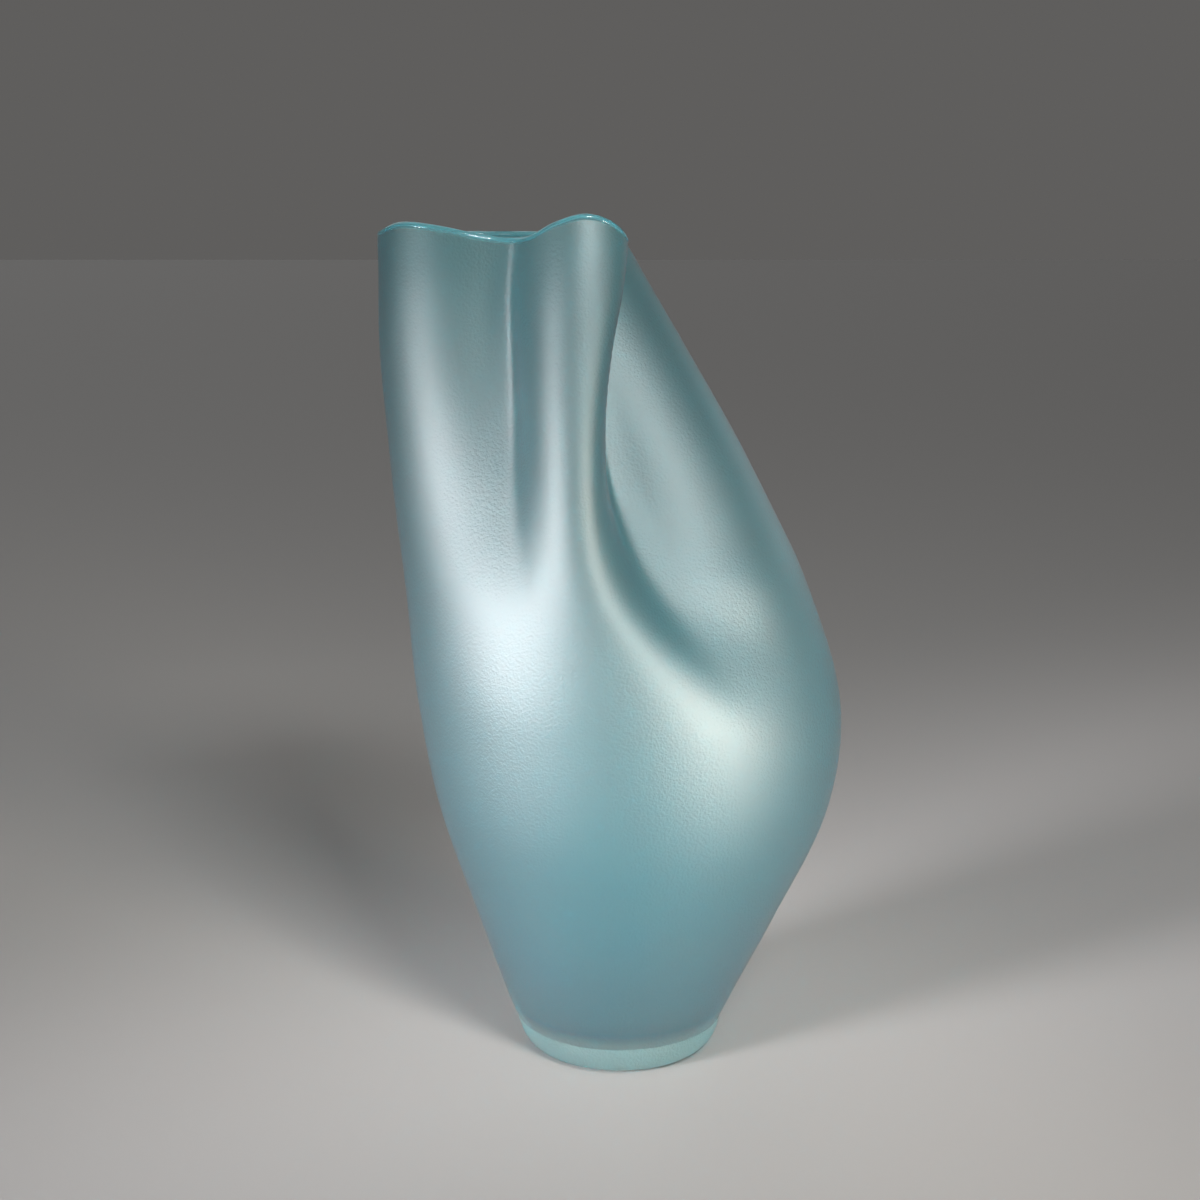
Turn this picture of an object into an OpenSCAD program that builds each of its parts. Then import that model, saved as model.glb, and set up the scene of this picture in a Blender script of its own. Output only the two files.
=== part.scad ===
// Hand blown art glass vase. An aqua bubble is cased in clear satin glass and stands on a thick
// clear foot. The neck leans to the left, and its wall is folded in by three long flutes, so the
// mouth has three lobes. The whole rim ends in a thin, fire-polished lip.
// Millimetres. +Z is up, the foot stands on Z = 0 about the origin, and the front faces -Y.

/* [Glass] */
// Thickness of the clear casing over most of the body
casing_t = 1.8; // [1.4:0.2:2.4]
// Thickness of the aqua bubble over most of the body
aqua_t = 2.2; // [1.6:0.2:3]
// Solid aqua glass between the clear foot and the floor of the hollow
floor_t = 5; // [4:1:8]

/* [Foot] */
// Thickness of the clear foot pad
foot_h = 13; // [12:1:15]
// Radius of the flat ring and disc that touch the table
ground_r = 36; // [34:1:38]

/* [Neck] */
// Depth of the three flutes, as a share of their usual depth
flute_depth = 1; // [0.7:0.05:1.05]
// Sideways lean of the neck, as a share of its usual lean
lean = 1; // [0.6:0.1:1.1]
// Radius of the round bead along the rim
lip_r = 1.65; // [1.6:0.05:2]

/* [Hidden] */

// Outer form before the flutes: height, centre X, centre Y, half width in X, half width in Y
form = [
    [0, 0, 0, 41, 41],
    [20, 0, 0, 48.5, 48.5],
    [60, 3, 0, 65, 63],
    [110, 6, 0, 84, 79],
    [155, 4, 0, 90, 83],
    [205, -6, 0, 85, 79],
    [255, -21, 0, 77.5, 72],
    [305, -35, 0, 68, 65],
    [355, -43, 0, 58, 63]
];

// Flutes: height, bearing from +X, depth, then the width in degrees before and after the bearing
front_flute = [
    [160, 238, 0, 30, 20],
    [190, 238, 2, 34, 20],
    [214, 238, 7, 36, 19],
    [249, 240, 20, 40, 20],
    [275, 244, 29, 43, 20],
    [305, 251, 34, 47, 21],
    [330, 258, 34, 50, 22],
    [355, 269, 31, 52, 23]
];
right_flute = [
    [150, 315, 0, 18, 24],
    [180, 305, 4, 16, 24],
    [210, 294, 18, 14, 28],
    [228, 292, 26, 13, 36],
    [249, 295, 34, 12, 38],
    [275, 304, 38, 12, 38],
    [305, 318, 40, 12, 38],
    [330, 331, 42, 12, 40],
    [355, 343, 42, 12, 44]
];
back_flute = [
    [150, 105, 0, 34, 34],
    [205, 106, 5, 34, 34],
    [255, 110, 16, 32, 32],
    [305, 114, 25, 30, 30],
    [355, 118, 30, 30, 30]
];
flute_blend = 13;   // degrees either side of a flute's bearing over which its width changes

// Height of the wall's top by bearing; the front lobe stands highest
rim = [
    [0, 343],
    [40, 345.5],
    [80, 347.6],
    [120, 348],
    [165, 348],
    [190, 349],
    [208, 352],
    [226, 350.8],
    [246, 347.5],
    [264, 346],
    [278, 347],
    [289, 352],
    [299, 355],
    [306, 354.3],
    [313, 351],
    [319, 346],
    [326, 342],
    [340, 342],
    [360, 343]
];
rim_mean = 348;
wave_from = 250;    // height at which the rings begin to follow the wave of the rim

// The clear glass thickens towards the foot, the bubble inside it ends in a round bottom, and both
// layers thin a little towards the rim:
// height above the foot pad, and extra thickness of clear glass there
clear_extra = [
    [0, 24], [2.5, 13], [7, 8.5], [14, 6], [24, 4], [40, 2], [65, 0.3], [90, 0], [230, 0], [320, -0.5]
];
// Height above the floor of the hollow, and extra thickness of aqua glass there
aqua_extra = [[0, 5], [4, 2.5], [12, 1.5], [30, 0.7], [70, 0], [225, 0], [315, -0.5]];

rings = 30;         // rings of points up each wall
fine_n = 36;        // points around the fluted front
coarse_n = 28;      // points around the plain sides and back
front_from = 222;   // bearings between which the points are close together
front_to = 352;
bead_n = 8;         // points around the lip's bead

// Value at x in a table of rows that each start with their x, on a smooth curve through the rows
function row_at(t, x, i = 0) = i > len(t) - 3 || x < t[i + 1][0] ? i : row_at(t, x, i + 1);
function slope(t, i) =
    i == 0 ? 0 * t[0]
    : i == len(t) - 1 ? (t[i] - t[i - 1]) / (t[i][0] - t[i - 1][0])
    : (t[i + 1] - t[i - 1]) / (t[i + 1][0] - t[i - 1][0]);
function curve(t, x) =
    let (i = row_at(t, x), h = t[i + 1][0] - t[i][0], u = max(0, min(1, (x - t[i][0]) / h)))
    t[i] * (1 + u * u * (2 * u - 3)) + t[i + 1] * u * u * (3 - 2 * u)
    + slope(t, i) * h * u * (1 - u) * (1 - u) - slope(t, i + 1) * h * u * u * (1 - u);

// Straight lines between the rows, level after the last
function steps(t, x) = lookup(x, t);

// How far one flute pushes the wall in at a bearing and height
function dent(flute, a, z) =
    let (
        f = curve(flute, z),
        off = (a - f[1] + 900) % 360 - 180,
        part = max(0, min(1, (off + flute_blend) / (2 * flute_blend))),
        w = f[3] + (f[4] - f[3]) * part * part * (3 - 2 * part)
    )
    flute_depth * max(0, f[2]) * exp(-off * off / (w * w));

// A point of the outside wall, as [x, y]
function wall(a, z) =
    let (
        f = curve(form, z),
        reach = f[3] * f[4] / norm([f[4] * cos(a), f[3] * sin(a)]),
        r = reach - dent(front_flute, a, z) - dent(right_flute, a, z) - dent(back_flute, a, z)
    )
    [lean * f[1] + r * cos(a), f[2] + r * sin(a)];

// The same point moved in from the outside, square to the wall in plan
function inward(a, z, t) =
    let (along = wall(a + 1, z) - wall(a - 1, z), p = wall(a, z), n = [-along[1], along[0]] / norm(along))
    [p[0] + t * n[0], p[1] + t * n[1], z];

around = fine_n + coarse_n;
function bearing(i) =
    i < fine_n ? front_from + (front_to - front_from) * i / fine_n
    : front_to + (360 - front_to + front_from) * (i - fine_n) / coarse_n;

// Height of ring k on a wall that starts at z0; the top rings rise and fall with the rim
function height(k, z0, a) =
    let (
        z = z0 + (rim_mean - z0) * pow(k / rings, 1.3),
        share = max(0, (z - wave_from) / (rim_mean - wave_from))
    )
    z + (curve(rim, a % 360)[1] - rim_mean) * share * share;

cavity_z = foot_h + floor_t;
function clear_at(z) = casing_t + steps(clear_extra, z - foot_h);
function glass_at(z) = clear_at(z) + aqua_t + steps(aqua_extra, z - cavity_z);

// One ring of each of the three surfaces: outside, colour boundary and inside
function outer_ring(k) =
    [for (i = [0:around - 1]) let (a = bearing(i), z = height(k, foot_h, a)) inward(a, z, 0)];
function colour_ring(k) =
    [for (i = [0:around - 1]) let (a = bearing(i), z = height(k, foot_h, a)) inward(a, z, clear_at(z))];
function inner_ring(k) =
    [for (i = [0:around - 1]) let (a = bearing(i), z = height(k, cavity_z, a)) inward(a, z, glass_at(z))];

// Radius of the lip's bead on a wall of this half thickness
function bead_r(half) = max(lip_r, half + 0.1);

// One ring of the bead, at an angle around its round section
function bead_ring(angle) =
    [for (i = [0:around - 1])
        let (
            a = bearing(i), z = height(rings, foot_h, a), half = glass_at(z) / 2,
            r = bead_r(half), lift = sqrt(r * r - half * half),
            p = inward(a, z, half - r * cos(angle))
        )
        [p[0], p[1], z + lift + r * sin(angle)]];

// A solid from rings of points: capped at both ends, or with the last ring joined to the first.
// From ring turn on the diagonals lean the other way, so that two solids meet on the same triangles.
module ringed(loops, capped, turn) {
    n = len(loops[0]);
    last = len(loops) - 1;
    sides = [
        for (k = [0:capped ? last - 1 : last], i = [0:n - 1])
            let (j = (i + 1) % n, a = k * n, b = (k + 1) % (last + 1) * n)
            each k < turn ? [[a + i, b + j, a + j], [a + i, b + i, b + j]]
                : [[a + i, b + i, a + j], [a + j, b + i, b + j]]
    ];
    caps = capped ? [[for (i = [0:n - 1]) i], [for (i = [n - 1:-1:0]) last * n + i]] : [];
    polyhedron(points = [for (loop = loops) each loop], faces = concat(sides, caps), convexity = 8);
}

module clear_foot() {
    top_r = curve(form, foot_h)[3];
    // Rounded edge from the ground up to the casing
    edge = [for (s = [0:0.1:1])
        [ground_r, 0] * (1 - s) * (1 - s) + [top_r - 2, 0] * 2 * s * (1 - s) + [top_r, foot_h] * s * s];
    color([0.78, 0.9, 0.88])
        rotate_extrude($fn = 128)
            polygon(concat([[0, 0]], edge, [[0, foot_h]]));
}

module clear_casing()
    color([0.75, 0.88, 0.88])
        ringed(concat(
            [for (k = [0:rings]) outer_ring(k)],
            [for (k = [rings:-1:0]) colour_ring(k)]
        ), capped = false, turn = rings + 1);

module aqua_bubble()
    color([0.2, 0.62, 0.7])
        ringed(concat(
            [for (k = [0:rings]) colour_ring(k)],
            [for (k = [rings:-1:0]) inner_ring(k)]
        ), capped = true, turn = 2 * rings + 2);

module fire_polished_lip() {
    half = glass_at(rim_mean) / 2;
    start = -acos(half / bead_r(half));
    color([0.1, 0.45, 0.52])
        ringed(concat(
            [for (k = [0:bead_n]) bead_ring(start + (180 - 2 * start) * k / bead_n)],
            [colour_ring(rings)]
        ), capped = false, turn = bead_n);
}

clear_foot();
clear_casing();
aqua_bubble();
fire_polished_lip();
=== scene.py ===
import math

import bmesh
import bpy
import numpy as np
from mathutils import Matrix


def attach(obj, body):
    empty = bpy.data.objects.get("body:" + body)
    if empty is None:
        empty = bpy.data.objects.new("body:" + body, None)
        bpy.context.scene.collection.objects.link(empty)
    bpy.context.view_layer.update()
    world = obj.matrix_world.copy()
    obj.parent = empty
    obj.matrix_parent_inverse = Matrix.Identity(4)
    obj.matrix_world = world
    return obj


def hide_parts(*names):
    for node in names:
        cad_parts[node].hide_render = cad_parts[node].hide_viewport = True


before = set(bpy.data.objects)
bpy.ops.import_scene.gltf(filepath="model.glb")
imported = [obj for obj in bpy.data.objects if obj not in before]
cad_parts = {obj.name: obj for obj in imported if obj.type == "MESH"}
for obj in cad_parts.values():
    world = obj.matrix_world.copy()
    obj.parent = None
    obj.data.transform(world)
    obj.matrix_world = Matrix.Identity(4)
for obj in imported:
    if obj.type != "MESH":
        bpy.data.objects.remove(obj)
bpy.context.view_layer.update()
scene = bpy.context.scene
millimetre = 0.001

# Outer form before the flutes: height, centre X, centre Y, half width X, half width Y (mm)
vaseForm = [
    [0, 0, 0, 41, 41],
    [20, 0, 0, 48.5, 48.5],
    [60, 3, 0, 65, 63],
    [110, 6, 0, 84, 79],
    [155, 4, 0, 90, 83],
    [205, -6, 0, 85, 79],
    [255, -21, 0, 77.5, 72],
    [305, -35, 0, 68, 65],
    [355, -43, 0, 58, 63],
]

# Flutes: height, bearing, depth, width before and after the bearing (mm, degrees)
flutes = {
    "front": [
        [160, 238, 0, 30, 20],
        [190, 238, 2, 34, 20],
        [214, 238, 7, 36, 19],
        [249, 240, 20, 40, 20],
        [275, 244, 29, 43, 20],
        [305, 251, 34, 47, 21],
        [330, 258, 34, 50, 22],
        [355, 269, 31, 52, 23],
    ],
    "right": [
        [150, 315, 0, 18, 24],
        [180, 305, 4, 16, 24],
        [210, 294, 18, 14, 28],
        [228, 292, 26, 13, 36],
        [249, 295, 34, 12, 38],
        [275, 304, 38, 12, 38],
        [305, 318, 40, 12, 38],
        [330, 331, 42, 12, 40],
        [355, 343, 42, 12, 44],
    ],
    "back": [
        [150, 105, 0, 34, 34],
        [205, 106, 5, 34, 34],
        [255, 110, 16, 32, 32],
        [305, 114, 25, 30, 30],
        [355, 118, 30, 30, 30],
    ],
}
fluteBlend = 13    # degrees either side of the bearing over which the width changes

# Height of the wall's top by bearing
rimHeight = [
    [0, 343], [40, 345.5], [80, 347.6], [120, 348], [165, 348], [190, 349],
    [208, 352], [226, 350.8], [246, 347.5], [264, 346], [278, 347], [289, 352],
    [299, 355], [306, 354.3], [313, 351], [319, 346], [326, 342], [340, 342], [360, 343],
]

wallSettings = {
    "around": 216,
    "rings": 150,
    "footTop": 13,
    "floorTop": 18,
    "rimMean": 348,
    "waveFrom": 250,
    "ringEase": 1.3,
    "clear": 1.8,
    "aqua": 2.2,
    "fusedGap": 0.015,
    "clearExtra": [
        [0, 24], [2.5, 13], [7, 8.5], [14, 6], [24, 4], [40, 2], [65, 0.3], [90, 0], [230, 0], [320, -0.5],
    ],
    "aquaExtra": [[0, 5], [4, 2.5], [12, 1.5], [30, 0.7], [70, 0], [225, 0], [315, -0.5]],
}


def curveAt(rows, x):
    # a smooth curve through rows that start with their x
    rows = np.array(rows, float)
    xs = rows[:, 0]
    x = np.clip(np.asarray(x, float), xs[0], xs[-1])
    slope = np.zeros_like(rows)
    slope[1:-1] = (rows[2:] - rows[:-2]) / (xs[2:] - xs[:-2])[:, None]
    slope[-1] = (rows[-1] - rows[-2]) / (xs[-1] - xs[-2])
    i = np.clip(np.searchsorted(xs, x, side="right") - 1, 0, len(xs) - 2)
    h = (xs[i + 1] - xs[i])[..., None]
    u = ((x - xs[i]) / h[..., 0])[..., None]
    return (
        rows[i] * (1 + u * u * (2 * u - 3))
        + rows[i + 1] * u * u * (3 - 2 * u)
        + slope[i] * h * u * (1 - u) ** 2
        - slope[i + 1] * h * u * u * (1 - u)
    )


def linesAt(rows, x):
    return np.interp(x, *np.array(rows, float).T)


def wallPoint(bearing, z):
    form = curveAt(vaseForm, z)
    c, s = np.cos(np.radians(bearing)), np.sin(np.radians(bearing))
    a, b = form[..., 3], form[..., 4]
    reach = a * b / np.sqrt((b * c) ** 2 + (a * s) ** 2)
    for rows in flutes.values():
        flute = curveAt(rows, z)
        off = (bearing - flute[..., 1] + 900) % 360 - 180
        part = np.clip((off + fluteBlend) / (2 * fluteBlend), 0, 1)
        width = flute[..., 3] + (flute[..., 4] - flute[..., 3]) * part * part * (3 - 2 * part)
        reach = reach - np.maximum(0, flute[..., 2]) * np.exp(-((off / width) ** 2))
    return np.stack([form[..., 1] + reach * c, form[..., 2] + reach * s], -1)


def inward(bearing, z, depth):
    # a wall point moved in by depth, square to the wall in plan
    along = wallPoint(bearing + 0.5, z) - wallPoint(bearing - 0.5, z)
    along = along / np.linalg.norm(along, axis=-1, keepdims=True)
    point = wallPoint(bearing, z)
    x = point[..., 0] - along[..., 1] * depth
    y = point[..., 1] + along[..., 0] * depth
    return np.stack([x, y, z + 0 * x], -1)


def clearAt(z):
    w = wallSettings
    return w["clear"] + linesAt(w["clearExtra"], z - w["footTop"])


def glassAt(z):
    w = wallSettings
    return clearAt(z) + w["aqua"] + linesAt(w["aquaExtra"], z - w["floorTop"])


def ringHeight(share, start, bearing):
    w = wallSettings
    z = start + (w["rimMean"] - start) * share ** w["ringEase"]
    wave = curveAt(rimHeight, bearing % 360)[..., 1] - w["rimMean"]
    rise = np.maximum(0, (z - w["waveFrom"]) / (w["rimMean"] - w["waveFrom"]))
    return z + wave * rise ** 2


def deselectAll():
    bpy.ops.object.select_all(action="DESELECT")


def pick(piece, *others):
    deselectAll()
    for o in (piece, *others):
        o.select_set(True)
    bpy.context.view_layer.objects.active = piece


def editMode():
    bpy.ops.object.mode_set(mode="EDIT")


def objectMode():
    bpy.ops.object.mode_set(mode="OBJECT")


def tube(name, rings):
    # an open tube of quads, 1 m high and 1 m in radius, cut into rings
    deselectAll()
    bpy.ops.mesh.primitive_cylinder_add(
        vertices=wallSettings["around"], radius=1, depth=1, end_fill_type="NOTHING", location=(0, 0, 0.5)
    )
    piece = bpy.context.active_object
    piece.name = name
    bpy.ops.object.transform_apply(location=True)
    editMode()
    bpy.ops.mesh.select_all(action="DESELECT")
    bpy.ops.mesh.select_mode(type="EDGE")
    mesh = bmesh.from_edit_mesh(piece.data)
    for edge in mesh.edges:
        edge.select = abs(edge.verts[0].co.z - edge.verts[1].co.z) > 0.5
    bmesh.update_edit_mesh(piece.data)
    bpy.ops.mesh.subdivide(number_cuts=rings - 1)
    objectMode()
    return piece


def tubePlaces(piece):
    # bearing in degrees and share of the height of every point
    co = np.zeros(len(piece.data.vertices) * 3)
    piece.data.vertices.foreach_get("co", co)
    co = co.reshape(-1, 3)
    return np.degrees(np.arctan2(co[:, 1], co[:, 0])) % 360, np.clip(co[:, 2], 0, 1)


def placePoints(piece, points):
    piece.data.vertices.foreach_set("co", (points * millimetre).ravel())
    piece.data.update()


def skin(name, start, depthAt):
    # one surface of the wall, from height start to the rim
    piece = tube(name, wallSettings["rings"])
    bearing, share = tubePlaces(piece)
    z = ringHeight(share, start, bearing)
    placePoints(piece, inward(bearing, z, depthAt(z)))
    return piece


def flipped(piece):
    pick(piece)
    editMode()
    bpy.ops.mesh.select_all(action="SELECT")
    bpy.ops.mesh.flip_normals()
    objectMode()
    return piece


def markFused(piece, values):
    # 1 on faces fused to another piece, 0 on faces in the air
    layer = piece.data.attributes.get("fused") or piece.data.attributes.new("fused", "FLOAT", "FACE")
    layer.data.foreach_set("value", np.array(values, float))


def selectLoops(piece, test):
    # select the open edges whose middle passes the test
    editMode()
    bpy.ops.mesh.select_all(action="DESELECT")
    bpy.ops.mesh.select_mode(type="EDGE")
    mesh = bmesh.from_edit_mesh(piece.data)
    for edge in mesh.edges:
        if edge.is_boundary and test((edge.verts[0].co + edge.verts[1].co) / 2 / millimetre):
            edge.select = True
    bmesh.update_edit_mesh(piece.data)


def joined(outer, inner, name):
    pick(outer, inner)
    bpy.ops.object.join()
    outer.name = name
    return outer


def finishFaces(piece, oldFaces):
    # faces made since are fused ones
    count = len(piece.data.polygons)
    values = np.zeros(count)
    piece.data.attributes["fused"].data.foreach_get("value", values)
    values[oldFaces:] = 1
    markFused(piece, values)
    pick(piece)
    bpy.ops.object.shade_smooth_by_angle(angle=math.radians(50))


def makeCasing():
    w = wallSettings
    outer = skin("clearCasing", w["footTop"], lambda z: 0 * z)
    markFused(outer, np.zeros(len(outer.data.polygons)))
    inner = flipped(skin("casingInside", w["footTop"], lambda z: clearAt(z) - w["fusedGap"]))
    markFused(inner, np.ones(len(inner.data.polygons)))
    casing = joined(outer, inner, "clearCasing")
    faces = len(casing.data.polygons)
    for low in (True, False):
        selectLoops(casing, lambda p: (p.z < 100) == low)
        bpy.ops.mesh.bridge_edge_loops()
        objectMode()
    finishFaces(casing, faces)
    return casing


def makeBubble():
    w = wallSettings
    outer = skin("aquaBubble", w["footTop"] + w["fusedGap"], lambda z: clearAt(z) + w["fusedGap"])
    markFused(outer, np.ones(len(outer.data.polygons)))
    inner = flipped(skin("bubbleInside", w["floorTop"], glassAt))
    markFused(inner, np.zeros(len(inner.data.polygons)))
    bubble = joined(outer, inner, "aquaBubble")
    faces = len(bubble.data.polygons)
    selectLoops(bubble, lambda p: p.z > 100)
    bpy.ops.mesh.bridge_edge_loops()
    objectMode()
    selectLoops(bubble, lambda p: p.z < w["footTop"] + 1)
    bpy.ops.mesh.fill()
    objectMode()
    fused = len(bubble.data.polygons)
    selectLoops(bubble, lambda p: True)
    bpy.ops.mesh.edge_face_add()
    objectMode()
    finishFaces(bubble, faces)
    layer = bubble.data.attributes["fused"]
    for i in range(fused, len(bubble.data.polygons)):
        layer.data[i].value = 0
    return bubble


footSettings = {"groundR": 36, "bands": 14}


def makeFoot():
    # a disc drawn up ring by ring to the casing, and closed on top
    w, f = wallSettings, footSettings
    top = w["footTop"] - w["fusedGap"]
    topR = float(curveAt(vaseForm, w["footTop"])[3])
    deselectAll()
    bpy.ops.mesh.primitive_circle_add(
        vertices=w["around"], radius=f["groundR"] * millimetre, fill_type="NGON"
    )
    foot = bpy.context.active_object
    foot.name = "clearFoot"
    editMode()
    bpy.ops.mesh.select_all(action="SELECT")
    size, level = f["groundR"], 0
    for band in range(1, f["bands"] + 1):
        s = band / f["bands"]
        r = f["groundR"] * (1 - s) ** 2 + (topR - 2) * 2 * s * (1 - s) + topR * s * s
        z = top * s * s
        bpy.ops.mesh.extrude_region_move(TRANSFORM_OT_translate={"value": (0, 0, (z - level) * millimetre)})
        bpy.ops.transform.resize(value=(r / size, r / size, 1), center_override=(0, 0, z * millimetre))
        size, level = r, z
    bpy.ops.mesh.select_all(action="SELECT")
    bpy.ops.mesh.normals_make_consistent(inside=False)
    objectMode()
    markFused(foot, [1 if p.normal.z > 0.9 else 0 for p in foot.data.polygons])
    pick(foot)
    bpy.ops.object.shade_smooth_by_angle(angle=math.radians(50))
    return foot


lipSettings = {"beadR": 1.65, "beadSides": 16}


def makeLip():
    # a tube laid along the rim: its rings run round the bead's section
    w, l = wallSettings, lipSettings
    lip = tube("firePolishedLip", l["beadSides"])
    bearing, share = tubePlaces(lip)
    z = ringHeight(np.ones_like(bearing), w["footTop"], bearing)
    half = glassAt(z) / 2
    start = -np.arccos(half / l["beadR"])
    angle = start + (math.pi - 2 * start) * share
    lift = np.sqrt(l["beadR"] ** 2 - half ** 2) + w["fusedGap"]
    points = inward(bearing, z, half - l["beadR"] * np.cos(angle))
    points[:, 2] += lift + l["beadR"] * np.sin(angle)
    placePoints(lip, points)
    markFused(lip, np.zeros(len(lip.data.polygons)))
    faces = len(lip.data.polygons)
    pick(lip)
    selectLoops(lip, lambda p: True)
    bpy.ops.mesh.bridge_edge_loops()
    bpy.ops.mesh.select_all(action="SELECT")
    bpy.ops.mesh.normals_make_consistent(inside=False)
    objectMode()
    finishFaces(lip, faces)
    return lip


class Val:
    # a socket that takes part in arithmetic
    def __init__(self, paint, socket):
        self.paint, self.socket = paint, socket

    def sum(self, other, operation, swap=False):
        pair = (other, self) if swap else (self, other)
        return self.paint.node("ShaderNodeMath", {"operation": operation}, {0: pair[0], 1: pair[1]})

    def __add__(self, other):
        return self.sum(other, "ADD")

    def __radd__(self, other):
        return self.sum(other, "ADD", True)

    def __sub__(self, other):
        return self.sum(other, "SUBTRACT")

    def __rsub__(self, other):
        return self.sum(other, "SUBTRACT", True)

    def __mul__(self, other):
        return self.sum(other, "MULTIPLY")

    def __rmul__(self, other):
        return self.sum(other, "MULTIPLY", True)

    def __pow__(self, other):
        return self.sum(other, "POWER")


class Paint:
    # one material and its nodes
    def __init__(self, name):
        self.material = bpy.data.materials.new(name)
        self.material.use_nodes = True
        self.tree = self.material.node_tree
        self.tree.nodes.clear()
        self.output = self.tree.nodes.new("ShaderNodeOutputMaterial")

    def feed(self, socket, value):
        if isinstance(value, Val):
            self.tree.links.new(value.socket, socket)
        else:
            socket.default_value = value

    def node(self, kind, settings=None, inputs=None, out=0):
        n = self.tree.nodes.new(kind)
        for key, value in (settings or {}).items():
            if key == "stops":
                for element, (place, colour) in zip(
                    [n.color_ramp.elements[0]]
                    + [n.color_ramp.elements.new(0.5) for _ in value[2:]]
                    + [n.color_ramp.elements[-1]],
                    value,
                ):
                    element.position, element.color = place, colour
            else:
                setattr(n, key, value)
        for key, value in (inputs or {}).items():
            self.feed(self.pick(n.inputs, key), value)
        return Val(self, self.pick(n.outputs, out))

    def pick(self, sockets, key):
        # a Mix node has a hidden set of sockets for every kind of data
        if isinstance(key, int):
            return sockets[key]
        return next(s for s in sockets if s.name == key and s.enabled)


grainSettings = {
    "grainScale": 900,      # a grain about every 1.1 mm
    "grainBump": 1.0,
    "grainHeight": 0.00045,
    "rippleScale": 35,
    "rippleBump": 0.12,
    "rippleHeight": 0.003,
}


def glassMaterial(name, look):
    g = grainSettings
    paint = Paint(name)
    place = paint.node("ShaderNodeTexCoord", out="Object")
    ripple = paint.node(
        "ShaderNodeTexNoise", None, {"Vector": place, "Scale": g["rippleScale"], "Detail": 1.0}, "Fac")
    surface = {"Strength": g["rippleBump"], "Distance": g["rippleHeight"], "Height": ripple}
    rough = look["roughness"]
    if look["grain"]:
        # the etched grain: fine bumps, and a little change of roughness with them
        fine = paint.node(
            "ShaderNodeTexNoise", None, {"Vector": place, "Scale": g["grainScale"], "Detail": 2.0}, "Fac")
        rough = rough - look["vary"] / 2 + fine * look["vary"]
        surface["Normal"] = paint.node("ShaderNodeBump", None, {
            "Strength": g["grainBump"] * look["grain"], "Distance": g["grainHeight"], "Height": fine})
    tint = look["tint"]
    if isinstance(tint, list):
        # tint by height above the table, in metres; on the casing it darkens up to the rim, which is painted
        # shade on the upper wall
        height = paint.node("ShaderNodeSeparateXYZ", None, {"Vector": place}, "Z")
        top = tint[-1][0]
        stops = [(z / top, colour) for z, colour in tint]
        tint = paint.node("ShaderNodeValToRGB", {"stops": stops}, {"Fac": height * (1 / top)})
    if look["edge"]:
        # a wall seen at a slant has more colour in the way of the light
        edge = paint.node("ShaderNodeLayerWeight", None, {"Blend": 0.5}, "Facing") ** 3 * look["edge"]
        tint = paint.node(
            "ShaderNodeMix", {"data_type": "RGBA"}, {"Factor": edge, "A": tint, "B": look["deep"]}, "Result")
    # faces fused to the next piece are not seen: only the glass behind them is
    fused = paint.node("ShaderNodeAttribute", {"attribute_name": "fused"}, out="Fac")
    shader = paint.node("ShaderNodeBsdfPrincipled", None, {
        "Base Color": tint,
        "Roughness": rough,
        "IOR": 1.5,
        "Transmission Weight": look["transmission"],
        "Coat Weight": look["coat"],
        "Coat Roughness": look["coatRoughness"],
        "Coat IOR": look["coatIor"],
        "Alpha": 1 - fused,
        "Normal": paint.node("ShaderNodeBump", None, surface),
    })
    paint.tree.links.new(shader.socket, paint.output.inputs["Surface"])
    inside = paint.node(
        "ShaderNodeVolumeAbsorption", None, {"Color": look["absorb"], "Density": look["density"]})
    paint.tree.links.new(inside.socket, paint.output.inputs["Volume"])
    return paint.material


def dress(piece, material, node):
    piece.data.materials.clear()
    piece.data.materials.append(material)
    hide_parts(node)
    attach(piece, "root")


print("foot")
satinFoot = glassMaterial("satinFootGlass", {
    "tint": (0.62, 0.88, 0.86, 1),
    "roughness": 0.47, "vary": 0.1, "transmission": 0.87, "grain": 1.0,
    "coat": 1.0, "coatRoughness": 0.62, "coatIor": 1.6,
    "edge": 0.3, "deep": (0.3, 0.75, 0.75, 1),
    "absorb": (0.55, 0.95, 0.9, 1), "density": 8,
})
dress(makeFoot(), satinFoot, "clear_foot")

print("casing")
satinCasing = glassMaterial("satinCasedGlass", {
    # pale over the clear band at the bottom, deep aqua just above it, lightest round the belly and darker up
    # to the rim: the darkening up to the rim is painted shade on the upper wall
    "tint": [
        (0.0, (0.8, 0.96, 0.94, 1)),
        (0.015, (0.7, 0.93, 0.92, 1)),
        (0.02, (0.04, 0.6, 0.7, 1)),
        (0.07, (0.1, 0.7, 0.78, 1)),
        (0.15, (0.25, 0.75, 0.78, 1)),
        (0.23, (0.12, 0.6, 0.62, 1)),
        (0.36, (0.05, 0.5, 0.51, 1)),
    ],
    "roughness": 0.46, "vary": 0.12, "transmission": 0.97, "grain": 1.0,
    "coat": 1.0, "coatRoughness": 0.6, "coatIor": 2.0,
    "edge": 0.9, "deep": (0.01, 0.36, 0.46, 1),
    "absorb": (0.55, 0.95, 0.9, 1), "density": 12,
})
dress(makeCasing(), satinCasing, "clear_casing")

print("bubble")
aquaGlass = glassMaterial("aquaGlass", {
    "tint": (0.55, 0.92, 0.97, 1),
    "roughness": 0.35, "vary": 0.05, "transmission": 0.96, "grain": 0.5,
    "coat": 0.0, "coatRoughness": 0.3, "coatIor": 1.5,
    "edge": 0,
    "absorb": (0.1, 0.84, 0.91, 1), "density": 270,
})
dress(makeBubble(), aquaGlass, "aqua_bubble")

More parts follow.
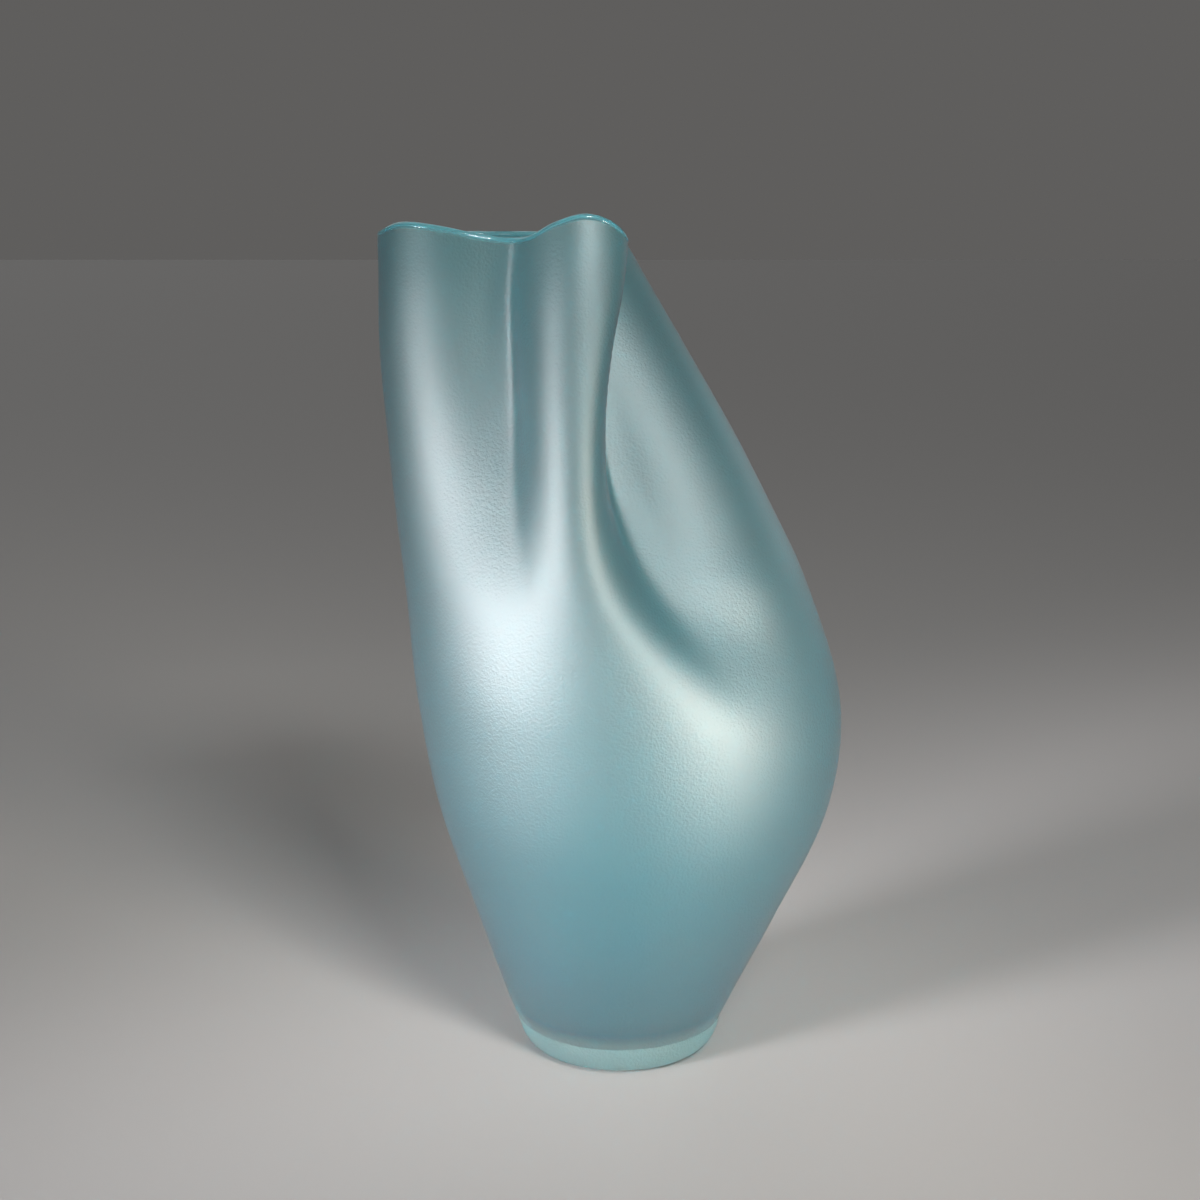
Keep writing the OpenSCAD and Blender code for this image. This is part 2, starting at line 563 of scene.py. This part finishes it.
print("lip")
polishedLip = glassMaterial("polishedTealLip", {
    "tint": (0.45, 0.93, 1, 1),
    "roughness": 0.12, "transmission": 0.85, "grain": 0.0,
    "coat": 0.0, "coatRoughness": 0.05, "coatIor": 1.5,
    "edge": 0,
    "absorb": (0.12, 0.84, 0.9, 1), "density": 150,
})
dress(makeLip(), polishedLip, "fire_polished_lip")


def flatMaterial(name, colour, roughness):
    paint = Paint(name)
    shader = paint.node("ShaderNodeBsdfPrincipled", None, {"Base Color": colour, "Roughness": roughness})
    paint.tree.links.new(shader.socket, paint.output.inputs["Surface"])
    return paint.material


print("floor and lights")
floorSettings = {"size": 30.0, "level": -0.0003, "colour": (0.4, 0.39, 0.38, 1), "roughness": 0.7}
deselectAll()
bpy.ops.mesh.primitive_plane_add(size=floorSettings["size"])
floor = bpy.context.active_object
floor.name = "floor"
floor.location.z = floorSettings["level"]
floor.data.materials.append(flatMaterial("paleFloor", floorSettings["colour"], floorSettings["roughness"]))

lamps = {
    "window": {
        "place": (-0.85, -0.6, 0.3), "aim": (0, 0, 0.11), "size": (0.32, 0.25),
        "power": 0.82, "spread": 26, "colour": (1, 0.96, 0.98),
    },
    "warm": {
        "place": (0.62, -0.7, 0.17), "aim": (0.02, 0, 0.12), "size": (0.22, 0.18),
        "power": 0.55, "spread": 32, "colour": (1, 0.9, 0.8),
    },
    "above": {
        "place": (0.35, -0.95, 1.07), "aim": (0, 0, 0.25), "size": (0.35, 0.25),
        "power": 5.5, "spread": 120, "colour": (1, 1, 1),
    },
    "behind": {
        "place": (0.75, 0.7, 0.45), "aim": (0, 0, 0.12), "size": (0.5, 0.4),
        "power": 0.12, "spread": 70, "colour": (1, 1, 1),
    },
}


def aim(thing, place, target):
    direction = np.array(target, float) - np.array(place, float)
    thing.location = place
    thing.rotation_euler = (
        math.atan2(math.hypot(direction[0], direction[1]), -direction[2]),
        0,
        math.atan2(-direction[0], direction[1]),
    )


for name, s in lamps.items():
    light = bpy.data.lights.new(name, "AREA")
    light.shape = "RECTANGLE"
    light.size, light.size_y = s["size"]
    light.energy = s["power"]
    light.spread = math.radians(s["spread"])
    light.color = s["colour"]
    lamp = bpy.data.objects.new(name, light)
    scene.collection.objects.link(lamp)
    aim(lamp, s["place"], s["aim"])
    lamp.visible_camera = False

# a soft, even light on the whole floor, from behind and above
daylight = bpy.data.lights.new("daylight", "SUN")
daylight.energy = 0.6
daylight.angle = math.radians(70)
sun = bpy.data.objects.new("daylight", daylight)
scene.collection.objects.link(sun)
aim(sun, (-0.5, 1.0, 1.3), (0, 0, 0))

# the sky is as bright as the floor where they meet, and darker above
world = bpy.data.worlds.new("softStudio")
world.use_nodes = True
sky = world.node_tree
direction = sky.nodes.new("ShaderNodeTexCoord")
split = sky.nodes.new("ShaderNodeSeparateXYZ")
ramp = sky.nodes.new("ShaderNodeValToRGB")
ramp.color_ramp.elements[0].position = 0.1
ramp.color_ramp.elements[0].color = (0.115, 0.112, 0.109, 1)
ramp.color_ramp.elements[1].position = 0.5
ramp.color_ramp.elements[1].color = (0.09, 0.09, 0.09, 1)
sky.links.new(direction.outputs["Generated"], split.inputs["Vector"])
sky.links.new(split.outputs["Z"], ramp.inputs["Fac"])
sky.links.new(ramp.outputs["Color"], sky.nodes["Background"].inputs["Color"])
sky.nodes["Background"].inputs["Strength"].default_value = 1.0
scene.world = world

print("camera")
cameraSettings = {"place": (-0.0085, -0.747, 0.356), "down": 12, "lens": 54}
camera = bpy.data.objects.new("camera", bpy.data.cameras.new("camera"))
camera.data.lens = cameraSettings["lens"]
camera.location = cameraSettings["place"]
camera.rotation_euler = (math.radians(90 - cameraSettings["down"]), 0, 0)
scene.collection.objects.link(camera)
scene.camera = camera
scene.cycles.transparent_max_bounces = 24
scene.view_settings.view_transform = "Standard"
